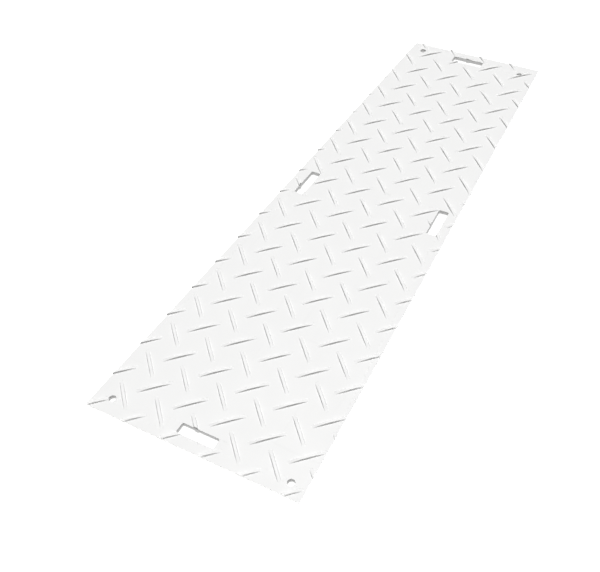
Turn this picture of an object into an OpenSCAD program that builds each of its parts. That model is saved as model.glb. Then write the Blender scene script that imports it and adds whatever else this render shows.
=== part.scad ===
// Ground protection mat: one moulded plastic board, narrower at one end, with a raised lozenge tread
// on both faces, a hand slot in the middle of each edge and a fixing hole near each corner.
// The tread is one continuous pattern that the outline, the slots and the holes cut through.
// X runs across the mat, Y along it towards the narrow end, and Z up. The origin is on the ground
// under the middle of the mat.

/* [Sheet] */
// Length of the mat, from the wide end to the narrow end
mat_length = 1829; // [1200:1:2440]
// Width of the mat at its wide end
wide_end_width = 610; // [480:1:900]
// Width of the mat at its narrow end
narrow_end_width = 457; // [360:1:900]
// Thickness of the sheet between the two treads
sheet_thickness = 12.7; // [8:0.1:25]
// Corner radius of the outline
outline_corner_radius = 3; // [1:0.5:12]

/* [Tread] */
// Distance from one lozenge to the next that points the same way, across and along
tread_pitch = 110.6; // [95:0.1:150]
// Length of one lozenge where it meets the sheet
lozenge_length = 91; // [60:1:110]
// Width of one lozenge where it meets the sheet
lozenge_width = 9.8; // [6:0.1:14]
// Height of one lozenge above the sheet, in its middle
lozenge_height = 5; // [2:0.1:7]
// Angle by which a lozenge's two long flanks lean in
flank_draft = 12; // [3:0.5:18]
// Angle by which the tread pattern is turned from the mat's centre line
tread_turn = -0.97; // [-5:0.01:5]
// Place across the mat of the left-handed lozenge nearest the middle
tread_shift_across = 0.6; // [-55:0.1:55]
// Place along the mat of the left-handed lozenge nearest the middle
tread_shift_along = 32.2; // [-55:0.1:55]

/* [Hand slots] */
// Length of each hand slot
slot_length = 107; // [90:1:140]
// Width of each hand slot
slot_width = 30; // [24:1:45]
// Corner radius of each hand slot
slot_corner_radius = 4; // [1:0.5:10]
// Wide end to the centre of its hand slot
wide_end_slot_inset = 48; // [36:0.5:80]
// Narrow end to the centre of its hand slot
narrow_end_slot_inset = 46; // [36:0.5:80]
// How far the narrow end's hand slot is from the centre line, negative to the left
narrow_end_slot_offset = -14; // [-40:0.5:40]
// Left side to the centre of its hand slot
left_slot_inset = 54; // [36:0.5:80]
// Right side to the centre of its hand slot
right_slot_inset = 45; // [36:0.5:80]
// How far the side slots are past the middle of the mat, towards the narrow end
side_slot_offset = 60; // [-150:0.5:150]

/* [Corner holes] */
// Diameter of each fixing hole
hole_diameter = 19; // [12:0.5:26]
// Left side to the centre of the wide end's left hole
wide_left_hole_side_inset = 50; // [30:0.5:70]
// Wide end to the centre of its left hole
wide_left_hole_end_inset = 44; // [30:0.5:70]
// Right side to the centre of the wide end's right hole
wide_right_hole_side_inset = 41; // [30:0.5:70]
// Wide end to the centre of its right hole
wide_right_hole_end_inset = 37.5; // [30:0.5:70]
// Left side to the centre of the narrow end's left hole
narrow_left_hole_side_inset = 46; // [30:0.5:70]
// Narrow end to the centre of its left hole
narrow_left_hole_end_inset = 41; // [30:0.5:70]
// Right side to the centre of the narrow end's right hole
narrow_right_hole_side_inset = 54; // [30:0.5:70]
// Narrow end to the centre of its right hole
narrow_right_hole_end_inset = 50.5; // [30:0.5:70]

/* [Hidden] */

$fn = 64;
arch_facets = 256;
mat_colour = "#f2f2f1";
tread_colour = "#fafaf9";

// Heights: the underside tread stands on the ground and carries the sheet.
sheet_underside = lozenge_height;
sheet_top = sheet_underside + sheet_thickness;

// Outline: half sizes, and the angle by which each side leans in. An end is -1 when it is the wide
// one and 1 when it is the narrow one, and a side is -1 on the left and 1 on the right.
half_length = mat_length / 2;
half_wide = wide_end_width / 2;
half_narrow = narrow_end_width / 2;
side_lean = atan2(half_wide - half_narrow, mat_length);

// Lozenge: a bar with leaning flanks, under a crest that is part of a big cylinder lying across it
// and comes down to the sheet at both ends.
half_foot_length = lozenge_length / 2;
half_foot_width = lozenge_width / 2;
crest_radius = (pow(half_foot_length, 2) + pow(lozenge_height, 2)) / (2 * lozenge_height);

// How far a solid reaches past the ones that it is cut by.
cut_clearance = 1;

// Tread: how far each lozenge is turned from the pattern's own lines, to one hand or the other.
lozenge_turn = 45;
// A lozenge at the edge counts once this much of it, measured square to the edge, is on the mat.
smallest_tip = 3;
furthest_outside = half_foot_length * cos(lozenge_turn) - smallest_tip;
// Enough rows and columns to cover the mat at any turn or shift.
columns = ceil(half_wide / tread_pitch) + 2;
rows = ceil(half_length / tread_pitch) + 2;

// Half the width of the mat at a distance y past its middle.
function half_width(y) = half_wide + (half_narrow - half_wide) * (y + half_length) / mat_length;

// How far inside the mat's edge a point is, negative outside.
function depth_inside(p) = min(
    half_length - abs(p.y),
    (half_width(p.y) - abs(p.x)) * cos(side_lean)
);

// A lozenge's centre, for the pattern's column and row, on the turned and shifted grid.
function lozenge_centre(column, row) =
    let (x = column * tread_pitch + tread_shift_across)
    let (y = row * tread_pitch + tread_shift_along)
    [x * cos(tread_turn) - y * sin(tread_turn), x * sin(tread_turn) + y * cos(tread_turn)];

// Every lozenge centre of one hand that is near enough to the mat to leave its tip on it.
function tread_centres(shift) = [
    for (row = [-rows : rows])
        for (column = [-columns : columns])
            let (p = lozenge_centre(column - shift, row - shift))
            if (depth_inside(p) > -furthest_outside) p
];

// Half the width of one end of the mat.
function half_end(end) = end < 0 ? half_wide : half_narrow;

// How far each straight edge stops short of an unrounded corner.
function corner_run(end) = outline_corner_radius / tan((90 + end * side_lean) / 2);

// Where a corner's rounding meets the end, where it meets the side, and its centre.
function end_tangent(side, end) = [
    side * (half_end(end) - corner_run(end)),
    end * half_length
];
function side_tangent(side, end) = [
    side * (half_end(end) + end * corner_run(end) * sin(side_lean)),
    end * (half_length - corner_run(end) * cos(side_lean))
];
function corner_centre(side, end) = end_tangent(side, end) - [0, end * outline_corner_radius];

// A point a given distance in from one side of the mat, at a distance y past its middle.
function in_from_side(side, y, inset) = [side * (half_width(y) - inset / cos(side_lean)), y];

// The mat's outline with its rounded corners.
module outline() {
    polygon([
        side_tangent(-1, -1), end_tangent(-1, -1),
        end_tangent(1, -1), side_tangent(1, -1),
        side_tangent(1, 1), end_tangent(1, 1),
        end_tangent(-1, 1), side_tangent(-1, 1)
    ]);
    for (side = [-1, 1], end = [-1, 1])
        translate(corner_centre(side, end)) circle(outline_corner_radius);
}

// One hand slot, lying across the mat.
module hand_slot() {
    straight_length = slot_length - 2 * slot_corner_radius;
    straight_width = slot_width - 2 * slot_corner_radius;
    square([straight_length, slot_width], center = true);
    square([slot_length, straight_width], center = true);
    for (x = [-1, 1], y = [-1, 1])
        translate([x * straight_length / 2, y * straight_width / 2]) circle(slot_corner_radius);
}

// The hand slots: one in each end, and one in each side that follows the side's lean.
module hand_slots() {
    translate([0, -half_length + wide_end_slot_inset]) hand_slot();
    translate([narrow_end_slot_offset, half_length - narrow_end_slot_inset]) hand_slot();
    translate(in_from_side(-1, side_slot_offset, left_slot_inset)) rotate(90 - side_lean) hand_slot();
    translate(in_from_side(1, side_slot_offset, right_slot_inset)) rotate(90 + side_lean) hand_slot();
}

// A fixing hole near one corner, some way in from its side and its end.
module corner_hole(side, end, side_inset, end_inset) {
    y = end * (half_length - end_inset);
    translate(in_from_side(side, y, side_inset)) circle(d = hole_diameter);
}

// The fixing holes near the corners.
module corner_holes() {
    corner_hole(-1, -1, wide_left_hole_side_inset, wide_left_hole_end_inset);
    corner_hole(1, -1, wide_right_hole_side_inset, wide_right_hole_end_inset);
    corner_hole(-1, 1, narrow_left_hole_side_inset, narrow_left_hole_end_inset);
    corner_hole(1, 1, narrow_right_hole_side_inset, narrow_right_hole_end_inset);
}

// The mat's plan, with its slots and holes open, raised to a height.
module plan(height) {
    linear_extrude(height)
        difference() {
            outline();
            hand_slots();
            corner_holes();
        }
}

// A bar's section: as wide as the foot on the ground, and narrower above.
module leaning_section() {
    top = lozenge_height + cut_clearance;
    half_top_width = half_foot_width - top * tan(flank_draft);
    polygon([
        [-half_foot_width, 0], [half_foot_width, 0],
        [half_top_width, top], [-half_top_width, top]
    ]);
}

// One lozenge lying along X, with its foot on the ground.
module lozenge() {
    intersection() {
        rotate([90, 0, 90])
            linear_extrude(lozenge_length + 2 * cut_clearance, center = true) leaning_section();
        translate([0, 0, lozenge_height - crest_radius])
            rotate([90, 0, 0])
                cylinder(2 * lozenge_width, r = crest_radius, center = true, $fn = arch_facets);
    }
}

// Every lozenge of one hand, cut through by the outline, the slots and the holes. The right-handed
// ones point to the right of the narrow end, and sit half a pitch off the left-handed ones.
module tread(hand) {
    shift = hand > 0 ? 0.5 : 0;
    intersection() {
        for (p = tread_centres(shift))
            translate(p) rotate(tread_turn + hand * lozenge_turn) lozenge();
        plan(lozenge_height + cut_clearance);
    }
}

module top_tread(hand) {
    color(tread_colour) translate([0, 0, sheet_top]) tread(hand);
}

// The underside repeats the top's pattern, facing down.
module underside_tread(hand) {
    color(tread_colour) translate([0, 0, sheet_underside]) mirror([0, 0, 1]) tread(hand);
}

// The board itself, with both faces plain.
module moulded_sheet() {
    color(mat_colour) translate([0, 0, sheet_underside]) plan(sheet_thickness);
}

module top_tread_right_handed() { top_tread(1); }
module top_tread_left_handed() { top_tread(-1); }
module underside_tread_right_handed() { underside_tread(1); }
module underside_tread_left_handed() { underside_tread(-1); }

moulded_sheet();
top_tread_right_handed();
top_tread_left_handed();
underside_tread_right_handed();
underside_tread_left_handed();
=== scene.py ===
"""A tapered ground protection mat of white moulded plastic, on a white studio floor.

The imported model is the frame. The sheet and the four sets of lozenges are rebuilt here with softened
edges, and each stands for its own CAD node.
"""

import math

import bmesh
import bpy
import numpy as np
from mathutils import Matrix, Vector
from mathutils.geometry import tessellate_polygon


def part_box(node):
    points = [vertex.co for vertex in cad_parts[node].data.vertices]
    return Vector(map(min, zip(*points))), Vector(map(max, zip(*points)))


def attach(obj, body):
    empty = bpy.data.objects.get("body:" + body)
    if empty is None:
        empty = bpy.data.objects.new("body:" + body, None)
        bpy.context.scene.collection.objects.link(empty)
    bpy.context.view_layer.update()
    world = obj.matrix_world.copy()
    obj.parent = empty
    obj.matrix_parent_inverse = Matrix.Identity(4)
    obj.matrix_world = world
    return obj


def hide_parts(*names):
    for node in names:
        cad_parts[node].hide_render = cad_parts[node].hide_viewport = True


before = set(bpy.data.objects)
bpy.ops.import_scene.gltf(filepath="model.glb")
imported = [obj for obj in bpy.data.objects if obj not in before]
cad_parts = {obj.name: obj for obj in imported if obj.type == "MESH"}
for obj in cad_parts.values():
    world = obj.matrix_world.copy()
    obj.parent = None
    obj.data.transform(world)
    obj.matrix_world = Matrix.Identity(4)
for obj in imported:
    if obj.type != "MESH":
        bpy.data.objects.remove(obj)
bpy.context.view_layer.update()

MM = 0.001

# Sizes that the model's box doesn't give, as the design has them.
WIDE_END_WIDTH = 610 * MM
NARROW_END_WIDTH = 457 * MM
OUTLINE_CORNER_RADIUS = 3 * MM
TREAD_PITCH = 110.6 * MM
TREAD_TURN = math.radians(-0.97)
LOZENGE_TURN = math.radians(45)
TREAD_SHIFT = (0.6 * MM, 32.2 * MM)
SMALLEST_TIP = 3 * MM
LOZENGE_LENGTH = 91 * MM
LOZENGE_WIDTH = 9.8 * MM
SLOT_LENGTH = 107 * MM
SLOT_WIDTH = 30 * MM
SLOT_CORNER_RADIUS = 4 * MM
WIDE_END_SLOT_INSET = 48 * MM
NARROW_END_SLOT_INSET = 46 * MM
NARROW_END_SLOT_OFFSET = -14 * MM
LEFT_SLOT_INSET = 54 * MM
RIGHT_SLOT_INSET = 45 * MM
SIDE_SLOT_OFFSET = 60 * MM
HOLE_RADIUS = 9.5 * MM

# Each corner hole: its side of the mat, its end, and how far in from the two it is.
HOLES = (
    (-1, -1, 50 * MM, 44 * MM),
    (1, -1, 41 * MM, 37.5 * MM),
    (-1, 1, 46 * MM, 41 * MM),
    (1, 1, 54 * MM, 50.5 * MM),
)

# How finely the plan's round stretches are divided.
CORNER_STEPS = 8
HOLE_STEPS = 48

# Softening that only the looks have.
EDGE_ROUNDING = 0.5 * MM
EDGE_STEPS = 3
SHARPEST_SMOOTH_EDGE = math.radians(50)
FLANK_WIDTH = 1.4 * MM
FLANK_ROUNDING = 0.2
END_EASING = 0.25 * MM
END_MARGIN = 3 * MM
FOOT_SINK = 0.05 * MM
FOOT_SKIRT = 0.3 * MM

# Cuts along a lozenge, and cuts across each flank as shares of its width, inwards from its foot.
TOP_DETAIL = (22, (-0.6, -0.3, -0.1, 0.1, 0.35, 0.65, 0.9, 1.1, 1.35, 1.8))
UNDERSIDE_DETAIL = (14, (-0.6, -0.15, 0.2, 0.8, 1.15, 1.6))

# The plastic: how much light it returns and how rough it is, from 0 to 1, and its gloss beside the usual 0.5.
PLASTIC_LEVEL = 0.7
PLASTIC_ROUGHNESS = 0.5
PLASTIC_GLOSS = 0.25

# The camera, with its lens as on a 36 mm sensor, and the studio's light.
CAMERA_PLACE = Vector((0.9071, -1.7537, 1.7969))
CAMERA_TARGET = Vector((-0.0266, -0.3189, 0.0018))
CAMERA_ROLL = math.radians(-5.435)
CAMERA_LENS = 53.943
KEY_HEADING = math.radians(99)
KEY_HEIGHT = math.radians(75)
KEY_SPREAD = math.radians(14)
KEY_STRENGTH = 4
FILL_STRENGTH = 0.05
FLOOR_SIZE = 40
FLOOR_GAP = 0.2 * MM
FLOOR_LEVEL = 0.2
FLOOR_GLOW = 2.6
# The weaker glow beneath the mat is a painted shadow.
FLOOR_GLOW_BENEATH = 1.0
FLOOR_GLOW_FADE = 20 * MM

# Places that follow from the sheet's box. The wide end is towards -Y, and the left side towards -X.
sheet_low, sheet_high = (Vector(corner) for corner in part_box("moulded_sheet"))
half_length = sheet_high.y
half_wide = WIDE_END_WIDTH / 2
half_narrow = NARROW_END_WIDTH / 2
side_lean = math.atan2(half_wide - half_narrow, 2 * half_length)
lozenge_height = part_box("top_tread_left_handed")[1][2] - sheet_high.z


def half_width(y):
    """Half the mat's width at a distance y past its middle."""
    return half_wide + (half_narrow - half_wide) * (y + half_length) / (2 * half_length)


def in_from_side(side, y, inset):
    """The point that is inset from one side of the mat, at y past its middle."""
    return Vector((side * (half_width(y) - inset / math.cos(side_lean)), y))


# The plan's loops run anticlockwise. Swell is the distance by which a loop is grown all round.


def rounded_loop(corners, radius, swell):
    """A convex polygon with its corners rounded."""
    points = []
    for i, corner in enumerate(corners):
        before = (corner - corners[i - 1]).normalized()
        after = (corners[(i + 1) % len(corners)] - corner).normalized()
        turn = before.angle(after)
        centre = corner + (after - before).normalized() * radius / math.cos(turn / 2)
        start = math.atan2(-before.x, before.y)
        for step in range(CORNER_STEPS + 1):
            angle = start + turn * step / CORNER_STEPS
            points.append(centre + (radius + swell) * Vector((math.cos(angle), math.sin(angle))))
    return points


def outline(swell):
    corners = [
        Vector((-half_wide, -half_length)),
        Vector((half_wide, -half_length)),
        Vector((half_narrow, half_length)),
        Vector((-half_narrow, half_length)),
    ]
    return rounded_loop(corners, OUTLINE_CORNER_RADIUS, swell)


def hand_slot(centre, turn, swell):
    """A slot that lies across the mat before it is turned."""
    x, y = SLOT_LENGTH / 2, SLOT_WIDTH / 2
    spin = Matrix.Rotation(turn, 2)
    corners = [Vector(c) for c in ((-x, -y), (x, -y), (x, y), (-x, y))]
    return rounded_loop([centre + spin @ c for c in corners], SLOT_CORNER_RADIUS, swell)


def round_hole(centre, swell):
    angles = (2 * math.pi * step / HOLE_STEPS for step in range(HOLE_STEPS))
    return [centre + (HOLE_RADIUS + swell) * Vector((math.cos(a), math.sin(a))) for a in angles]


def openings(swell):
    """The loops of the four hand slots and of the four corner holes."""
    upright = math.pi / 2
    slots = [
        (Vector((0, WIDE_END_SLOT_INSET - half_length)), 0),
        (Vector((NARROW_END_SLOT_OFFSET, half_length - NARROW_END_SLOT_INSET)), 0),
        (in_from_side(-1, SIDE_SLOT_OFFSET, LEFT_SLOT_INSET), upright - side_lean),
        (in_from_side(1, SIDE_SLOT_OFFSET, RIGHT_SLOT_INSET), upright + side_lean),
    ]
    holes = [
        in_from_side(side, end * (half_length - end_inset), side_inset)
        for side, end, side_inset, end_inset in HOLES
    ]
    return [hand_slot(c, turn, swell) for c, turn in slots] + [round_hole(c, swell) for c in holes]


def prism(name, rows):
    """The mat's plan as a closed solid. Each row is a height, and how far the plastic is cut back there."""
    vertices, faces = [], []
    for height, cut_back in rows:
        loops = [outline(-cut_back)] + openings(cut_back)
        vertices += [(p.x, p.y, height) for loop in loops for p in loop]
    count = sum(len(loop) for loop in loops)
    for row in range(len(rows) - 1):
        start = row * count
        for loop in loops:
            for i in range(len(loop)):
                a, b = start + i, start + (i + 1) % len(loop)
                faces.append((a, b, b + count, a + count))
            start += len(loop)
    cap = tessellate_polygon([[p.to_3d() for p in loop] for loop in loops])
    top = count * (len(rows) - 1)
    faces += [tuple(triangle) for triangle in cap]
    faces += [tuple(top + i for i in triangle) for triangle in cap]
    return mesh_object(name, vertices, faces)


def mesh_object(name, vertices, faces):
    """A new mesh whose faces all look outwards."""
    mesh = bpy.data.meshes.new(name)
    mesh.from_pydata(vertices, [], faces)
    shell = bmesh.new()
    shell.from_mesh(mesh)
    bmesh.ops.recalc_face_normals(shell, faces=shell.faces)
    shell.to_mesh(mesh)
    shell.free()
    piece = bpy.data.objects.new(name, mesh)
    bpy.context.scene.collection.objects.link(piece)
    return piece


def hand_over(piece, node, material):
    """The piece takes a CAD node's place on the model's one body, with the material it is given."""
    piece.data.materials.append(material)
    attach(piece, "root")
    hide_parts(node)


def sheet(material):
    """The board, with every edge of its faces rounded over."""
    quarter = [math.pi / 2 * step / EDGE_STEPS for step in range(EDGE_STEPS + 1)]
    rounding = [(EDGE_ROUNDING * (1 - math.sin(a)), EDGE_ROUNDING * (1 - math.cos(a))) for a in quarter]
    bottom = [(sheet_low.z + depth, cut_back) for depth, cut_back in reversed(rounding)]
    top = [(sheet_high.z - depth, cut_back) for depth, cut_back in rounding]
    piece = prism("sheet", bottom + top)
    piece.data.shade_smooth()
    piece.modifiers.new("flat_faces", "WEIGHTED_NORMAL").weight = 100
    hand_over(piece, "moulded_sheet", material)


# The tread. A lozenge is worked out as heights above the sheet's face, then repeated on the grid.


def smooth_max(a, b, rounding):
    return (a + b + np.hypot(a - b, rounding)) / 2


def crest(x):
    """Height of a lozenge's crest, part of a big circle that is eased into the sheet at its ends."""
    half_l = LOZENGE_LENGTH / 2
    radius = (half_l**2 + lozenge_height**2) / (2 * lozenge_height)
    return smooth_max(np.sqrt(radius**2 - x**2) - radius + lozenge_height, 0, END_EASING)


def flank(depth):
    """How far up its flank a lozenge is, from 0 to 1, some depth in from its foot."""
    climbed = depth / FLANK_WIDTH
    return (1 + np.hypot(climbed, FLANK_ROUNDING) - np.hypot(climbed - 1, FLANK_ROUNDING)) / 2


def lozenge(steps_along, flank_steps):
    """One lozenge that lies along X, as a closed shell: its vertices and its faces."""
    half_l, half_w = LOZENGE_LENGTH / 2, LOZENGE_WIDTH / 2
    along = np.sin(np.linspace(-math.pi / 2, math.pi / 2, steps_along + 1)) * (half_l + END_MARGIN)
    edge = half_w - FLANK_WIDTH * np.array(flank_steps)
    across = np.concatenate([-edge, [0], edge[::-1]])
    width = len(across)
    x = np.repeat(along, width)
    y = np.tile(across, len(along))
    surface = np.column_stack([x, y, crest(x) * flank(half_w - np.abs(y)) - FOOT_SINK])
    faces = [
        (i * width + j, (i + 1) * width + j, (i + 1) * width + j + 1, i * width + j + 1)
        for i in range(steps_along)
        for j in range(width - 1)
    ]
    # The edge of that surface, all round, from which a skirt goes down into the sheet.
    near = [i * width for i in range(steps_along + 1)]
    far = [i * width + width - 1 for i in range(steps_along + 1)]
    last_row = list(range(near[-1] + 1, far[-1]))
    first_row = list(range(near[0] + 1, far[0]))
    rim = near + last_row + far[::-1] + first_row[::-1]
    skirt = surface[rim].copy()
    skirt[:, 2] = -FOOT_SKIRT
    base = len(surface)
    for i, vertex in enumerate(rim):
        after = (i + 1) % len(rim)
        faces.append((vertex, base + i, base + after, rim[after]))
    faces.append(tuple(range(base + len(rim) - 1, base - 1, -1)))
    return np.vstack([surface, skirt]), faces


def tread_centres(shift):
    """The places of one hand's lozenges that are near enough to leave something on the mat."""
    columns = math.ceil(half_wide / TREAD_PITCH) + 2
    rows = math.ceil(half_length / TREAD_PITCH) + 2
    spin = Matrix.Rotation(TREAD_TURN, 2)
    tip_reach = LOZENGE_LENGTH / 2 * math.cos(LOZENGE_TURN)
    places = []
    for row in range(-rows, rows + 1):
        for column in range(-columns, columns + 1):
            step = Vector((column - shift, row - shift)) * TREAD_PITCH
            place = spin @ (step + Vector(TREAD_SHIFT))
            side_depth = (half_width(place.y) - abs(place.x)) * math.cos(side_lean)
            if min(half_length - abs(place.y), side_depth) > SMALLEST_TIP - tip_reach:
                places.append(place)
    return places


def trimmed(piece, cutter):
    """Cuts the piece through at the mat's outline and openings."""
    cut = piece.modifiers.new("trim", "BOOLEAN")
    cut.operation = "INTERSECT"
    cut.solver = "MANIFOLD"
    cut.object = cutter
    whole = piece.evaluated_get(bpy.context.evaluated_depsgraph_get())
    mesh = bpy.data.meshes.new_from_object(whole)
    # The cut leaves an empty material slot behind.
    mesh.materials.clear()
    piece.modifiers.clear()
    piece.data = mesh


def tread(node, hand, side, detail, material):
    """The lozenges of one hand, 1 for right and -1 for left, on one side, 1 for top and -1 for underside."""
    vertices, faces = lozenge(*detail)
    spin = np.array(Matrix.Rotation(TREAD_TURN + hand * LOZENGE_TURN, 2))
    shape = vertices.copy()
    shape[:, :2] = vertices[:, :2] @ spin.T
    shape[:, 2] *= side
    face = sheet_high.z if side > 0 else sheet_low.z
    # The right-handed lozenges sit half a pitch off the left-handed ones, both ways.
    places = tread_centres(0.5 if hand > 0 else 0)
    copies = [shape + (place.x, place.y, face) for place in places]
    count = len(shape)
    all_faces = [tuple(i + n * count for i in f) for n in range(len(places)) for f in faces]
    piece = mesh_object(node + "_piece", np.vstack(copies), all_faces)
    # The cutter reaches past the lozenges, above and below.
    span = sorted((face - side * 2 * FOOT_SKIRT, face + side * 2 * lozenge_height))
    cutter = prism("cutter", [(height, EDGE_ROUNDING) for height in span])
    trimmed(piece, cutter)
    bpy.data.objects.remove(cutter)
    piece.data.shade_smooth()
    piece.data.set_sharp_from_angle(angle=SHARPEST_SMOOTH_EDGE)
    hand_over(piece, node, material)


# Materials. Textures are placed in metres on the mat itself.


class Shader:
    """A node material that is written as a chain of small calls."""

    def __init__(self, name):
        self.material = bpy.data.materials.new(name)
        self.material.use_nodes = True
        self.tree = self.material.node_tree
        self.surface = self.tree.nodes["Principled BSDF"]
        self.place = self.add("ShaderNodeTexCoord").outputs["Object"]

    def add(self, kind, inputs=None, **settings):
        """A new node. An input is a value, or another node's output."""
        made = self.tree.nodes.new(kind)
        for setting, value in settings.items():
            setattr(made, setting, value)
        for socket, value in (inputs or {}).items():
            self.put(made.inputs[socket], value)
        return made

    def put(self, socket, value):
        if isinstance(value, bpy.types.NodeSocket):
            self.tree.links.new(value, socket)
        else:
            socket.default_value = value

    def noise(self, per_metre, detail, shares=(1, 1, 1), turn=0):
        """Noise with so many features to the metre, times each axis's share. A turn gives another pattern."""
        mapping = self.add(
            "ShaderNodeMapping",
            {"Vector": self.place, "Scale": shares, "Rotation": (0, 0, turn)},
        )
        made = self.add(
            "ShaderNodeTexNoise",
            {"Vector": mapping.outputs[0], "Scale": per_metre, "Detail": detail, "Roughness": 0.55},
        )
        return made.outputs["Fac"]

    def ramp(self, value, low, high, start=0.0, end=1.0):
        """The value carried from low..high to start..end, smoothly and no further."""
        made = self.add(
            "ShaderNodeMapRange",
            {"Value": value, "From Min": low, "From Max": high, "To Min": start, "To Max": end},
            interpolation_type="SMOOTHSTEP",
        )
        return made.outputs["Result"]

    def combine(self, operation, a, b):
        return self.add("ShaderNodeMath", {0: a, 1: b}, operation=operation).outputs[0]

    def size_of(self, value):
        return self.combine("ABSOLUTE", value, 0)

    def tint(self, colour, mask, strength, over):
        """The colour with another over it where the mask is, at some strength."""
        share = self.combine("MULTIPLY", mask, strength)
        made = self.add("ShaderNodeMix", {"Factor": share}, data_type="RGBA")
        first, second = made.inputs[6:8]
        self.put(first, colour)
        self.put(second, over)
        return made.outputs[2]

    def bump(self, height, distance, below=None):
        inputs = {"Height": height, "Distance": distance, "Strength": 1.0}
        if below is not None:
            inputs["Normal"] = below
        return self.add("ShaderNodeBump", inputs).outputs["Normal"]


def grey(level):
    return (level, level, level * 0.995, 1)


def flow_marks(s):
    """Broad mottling, and streaks along the mat, left by the plastic's flow in the mould."""
    mottle = s.ramp(s.noise(9, 4), 0.35, 0.65)
    streaks = s.ramp(s.noise(30, 2, shares=(1, 0.12, 1)), 0.4, 0.7)
    return mottle, streaks


def scuffing(s):
    """Thin scratches that run along the mat or across it."""
    along = s.ramp(s.noise(60, 1, shares=(1, 0.04, 1), turn=0.5), 0.68, 0.74)
    across = s.ramp(s.noise(70, 1, shares=(0.05, 1, 1), turn=0.3), 0.70, 0.76)
    return s.combine("MAXIMUM", along, across)


def highlight_and_polish(s):
    """The upper part of each lozenge, on both faces: lighter in colour as a painted highlight, and a little
    smoother where feet and wheels rub.
    """
    middle = (sheet_low.z + sheet_high.z) / 2
    half_thickness = (sheet_high.z - sheet_low.z) / 2
    height = s.add("ShaderNodeSeparateXYZ", {"Vector": s.place}).outputs["Z"]
    from_middle = s.size_of(s.combine("SUBTRACT", height, middle))
    rise = s.combine("SUBTRACT", from_middle, half_thickness)
    return s.ramp(rise, 0.6 * lozenge_height, lozenge_height)


def moulded_plastic(name):
    """Satin white polyethylene: a moulded grain, faint flow marks, scuffs, and a painted highlight on the
    lozenges' upper parts, which are also a little smoother.
    """
    s = Shader(name)
    mottle, streaks = flow_marks(s)
    scuffs = scuffing(s)
    tops_highlight_and_polish = highlight_and_polish(s)

    colour = s.tint(grey(PLASTIC_LEVEL), mottle, 0.3, grey(PLASTIC_LEVEL - 0.015))
    colour = s.tint(colour, streaks, 0.25, grey(PLASTIC_LEVEL + 0.015))
    colour = s.tint(colour, scuffs, 0.15, grey(PLASTIC_LEVEL - 0.05))
    # Painted highlight: the upper parts of the lozenges are made lighter in colour.
    colour = s.tint(colour, tops_highlight_and_polish, 0.6, grey(PLASTIC_LEVEL + 0.05))
    s.put(s.surface.inputs["Base Color"], colour)

    rough = s.ramp(mottle, 0, 1, PLASTIC_ROUGHNESS, PLASTIC_ROUGHNESS + 0.06)
    # The lozenges' upper parts are also a little smoother.
    rough = s.combine("SUBTRACT", rough, s.combine("MULTIPLY", tops_highlight_and_polish, 0.04))
    rough = s.combine("ADD", rough, s.combine("MULTIPLY", scuffs, 0.06))
    s.put(s.surface.inputs["Roughness"], rough)
    s.put(s.surface.inputs["Specular IOR Level"], PLASTIC_GLOSS)

    waviness = s.bump(s.noise(160, 2), 0.04 * MM)
    grain = s.bump(s.noise(1300, 1), 0.03 * MM, waviness)
    s.put(s.surface.inputs["Normal"], grain)
    return s.material


# The studio.


def depth_inside(s):
    """How far a place is inside the mat's outline, negative outside it."""
    place = s.add("ShaderNodeSeparateXYZ", {"Vector": s.place})
    x, y = place.outputs["X"], place.outputs["Y"]
    end_depth = s.combine("SUBTRACT", half_length, s.size_of(y))
    narrowing = s.combine("MULTIPLY", y, (half_narrow - half_wide) / (2 * half_length))
    half_width_there = s.combine("ADD", narrowing, (half_wide + half_narrow) / 2)
    side_depth = s.combine("SUBTRACT", half_width_there, s.size_of(x))
    return s.combine("MINIMUM", end_depth, side_depth)


def floor():
    """A floor that glows white round the mat, so that no shadow shows on it. Beneath the mat it glows less,
    as a painted shadow.
    """
    reach = FLOOR_SIZE / 2
    corners = [(-reach, -reach), (reach, -reach), (reach, reach), (-reach, reach)]
    made = mesh_object("floor", [(x, y, -FLOOR_GAP) for x, y in corners], [(0, 1, 2, 3)])
    s = Shader("glowing_floor")
    s.put(s.surface.inputs["Base Color"], grey(FLOOR_LEVEL))
    s.put(s.surface.inputs["Roughness"], 0.9)
    s.put(s.surface.inputs["Specular IOR Level"], 0.0)
    s.put(s.surface.inputs["Emission Color"], grey(1))
    # Painted shadow: the glow falls from FLOOR_GLOW round the mat to FLOOR_GLOW_BENEATH under it.
    glow = s.ramp(depth_inside(s), 0, FLOOR_GLOW_FADE, FLOOR_GLOW, FLOOR_GLOW_BENEATH)
    s.put(s.surface.inputs["Emission Strength"], glow)
    made.data.materials.append(s.material)


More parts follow.
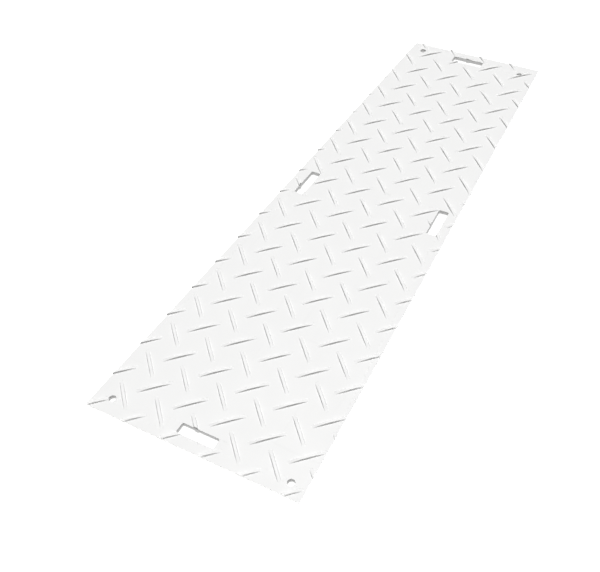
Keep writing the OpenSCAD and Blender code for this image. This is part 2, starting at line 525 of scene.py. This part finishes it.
def fill_light():
    """Soft light from all round, with a white backdrop where the camera sees past the floor."""
    world = bpy.data.worlds.new("studio")
    world.use_nodes = True
    tree = world.node_tree
    tree.nodes.clear()
    fill = tree.nodes.new("ShaderNodeBackground")
    fill.inputs["Strength"].default_value = FILL_STRENGTH
    backdrop = tree.nodes.new("ShaderNodeBackground")
    seen = tree.nodes.new("ShaderNodeLightPath")
    mix = tree.nodes.new("ShaderNodeMixShader")
    out = tree.nodes.new("ShaderNodeOutputWorld")
    for each in (fill, backdrop):
        each.inputs["Color"].default_value = grey(1)
    tree.links.new(seen.outputs["Is Camera Ray"], mix.inputs[0])
    tree.links.new(fill.outputs[0], mix.inputs[1])
    tree.links.new(backdrop.outputs[0], mix.inputs[2])
    tree.links.new(mix.outputs[0], out.inputs["Surface"])
    bpy.context.scene.world = world


def key_light():
    """A broad soft light from high up, a little behind, which leaves the lozenges' near flanks in shade."""
    lamp = bpy.data.lights.new("key", "SUN")
    lamp.energy = KEY_STRENGTH
    lamp.angle = KEY_SPREAD
    key = bpy.data.objects.new("key", lamp)
    flat = math.cos(KEY_HEIGHT)
    towards = Vector((flat * math.cos(KEY_HEADING), flat * math.sin(KEY_HEADING), math.sin(KEY_HEIGHT)))
    key.rotation_mode = "QUATERNION"
    key.rotation_quaternion = towards.to_track_quat("Z", "Y")
    bpy.context.scene.collection.objects.link(key)


def camera():
    """Looks along the mat from its wide end and from the right, a little tilted."""
    lens = bpy.data.cameras.new("camera")
    lens.lens = CAMERA_LENS
    made = bpy.data.objects.new("camera", lens)
    made.location = CAMERA_PLACE
    aim = (CAMERA_TARGET - CAMERA_PLACE).to_track_quat("-Z", "Y")
    made.rotation_mode = "QUATERNION"
    made.rotation_quaternion = aim @ Matrix.Rotation(CAMERA_ROLL, 3, "Z").to_quaternion()
    bpy.context.scene.collection.objects.link(made)
    bpy.context.scene.camera = made


bpy.context.scene.view_settings.view_transform = "Standard"
sheet(moulded_plastic("sheet_plastic"))
tread_plastic = moulded_plastic("tread_plastic")
tread("top_tread_right_handed", 1, 1, TOP_DETAIL, tread_plastic)
tread("top_tread_left_handed", -1, 1, TOP_DETAIL, tread_plastic)
tread("underside_tread_right_handed", 1, -1, UNDERSIDE_DETAIL, tread_plastic)
tread("underside_tread_left_handed", -1, -1, UNDERSIDE_DETAIL, tread_plastic)
floor()
fill_light()
key_light()
camera()
